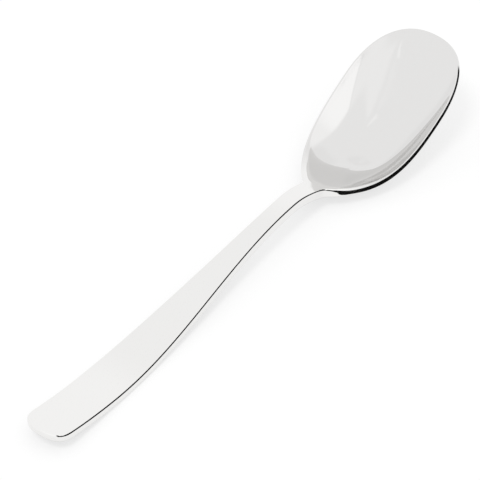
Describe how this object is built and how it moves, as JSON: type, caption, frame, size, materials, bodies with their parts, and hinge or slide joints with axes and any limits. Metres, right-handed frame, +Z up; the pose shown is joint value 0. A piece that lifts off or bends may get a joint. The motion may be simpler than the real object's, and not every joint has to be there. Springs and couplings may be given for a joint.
{
  "type": "tablespoon",
  "caption": "Polished steel tablespoon with an egg-shaped bowl, a slim arched neck and a flat handle that widens to a rounded tail.",
  "frame": {"origin": "under the middle of the spoon's length and width, on the surface that it lies on", "axes": "+X along the spoon from the tail of the handle to the tip of the bowl, +Y across it to the left, +Z up out of the bowl"},
  "size_m": [0.2052, 0.0392, 0.0287],
  "materials": {
    "polished_steel": "polished"
  },
  "bodies": {
    "root": {"handle": "polished_steel", "neck": "polished_steel", "bowl": "polished_steel"}
  },
  "joints": []
}
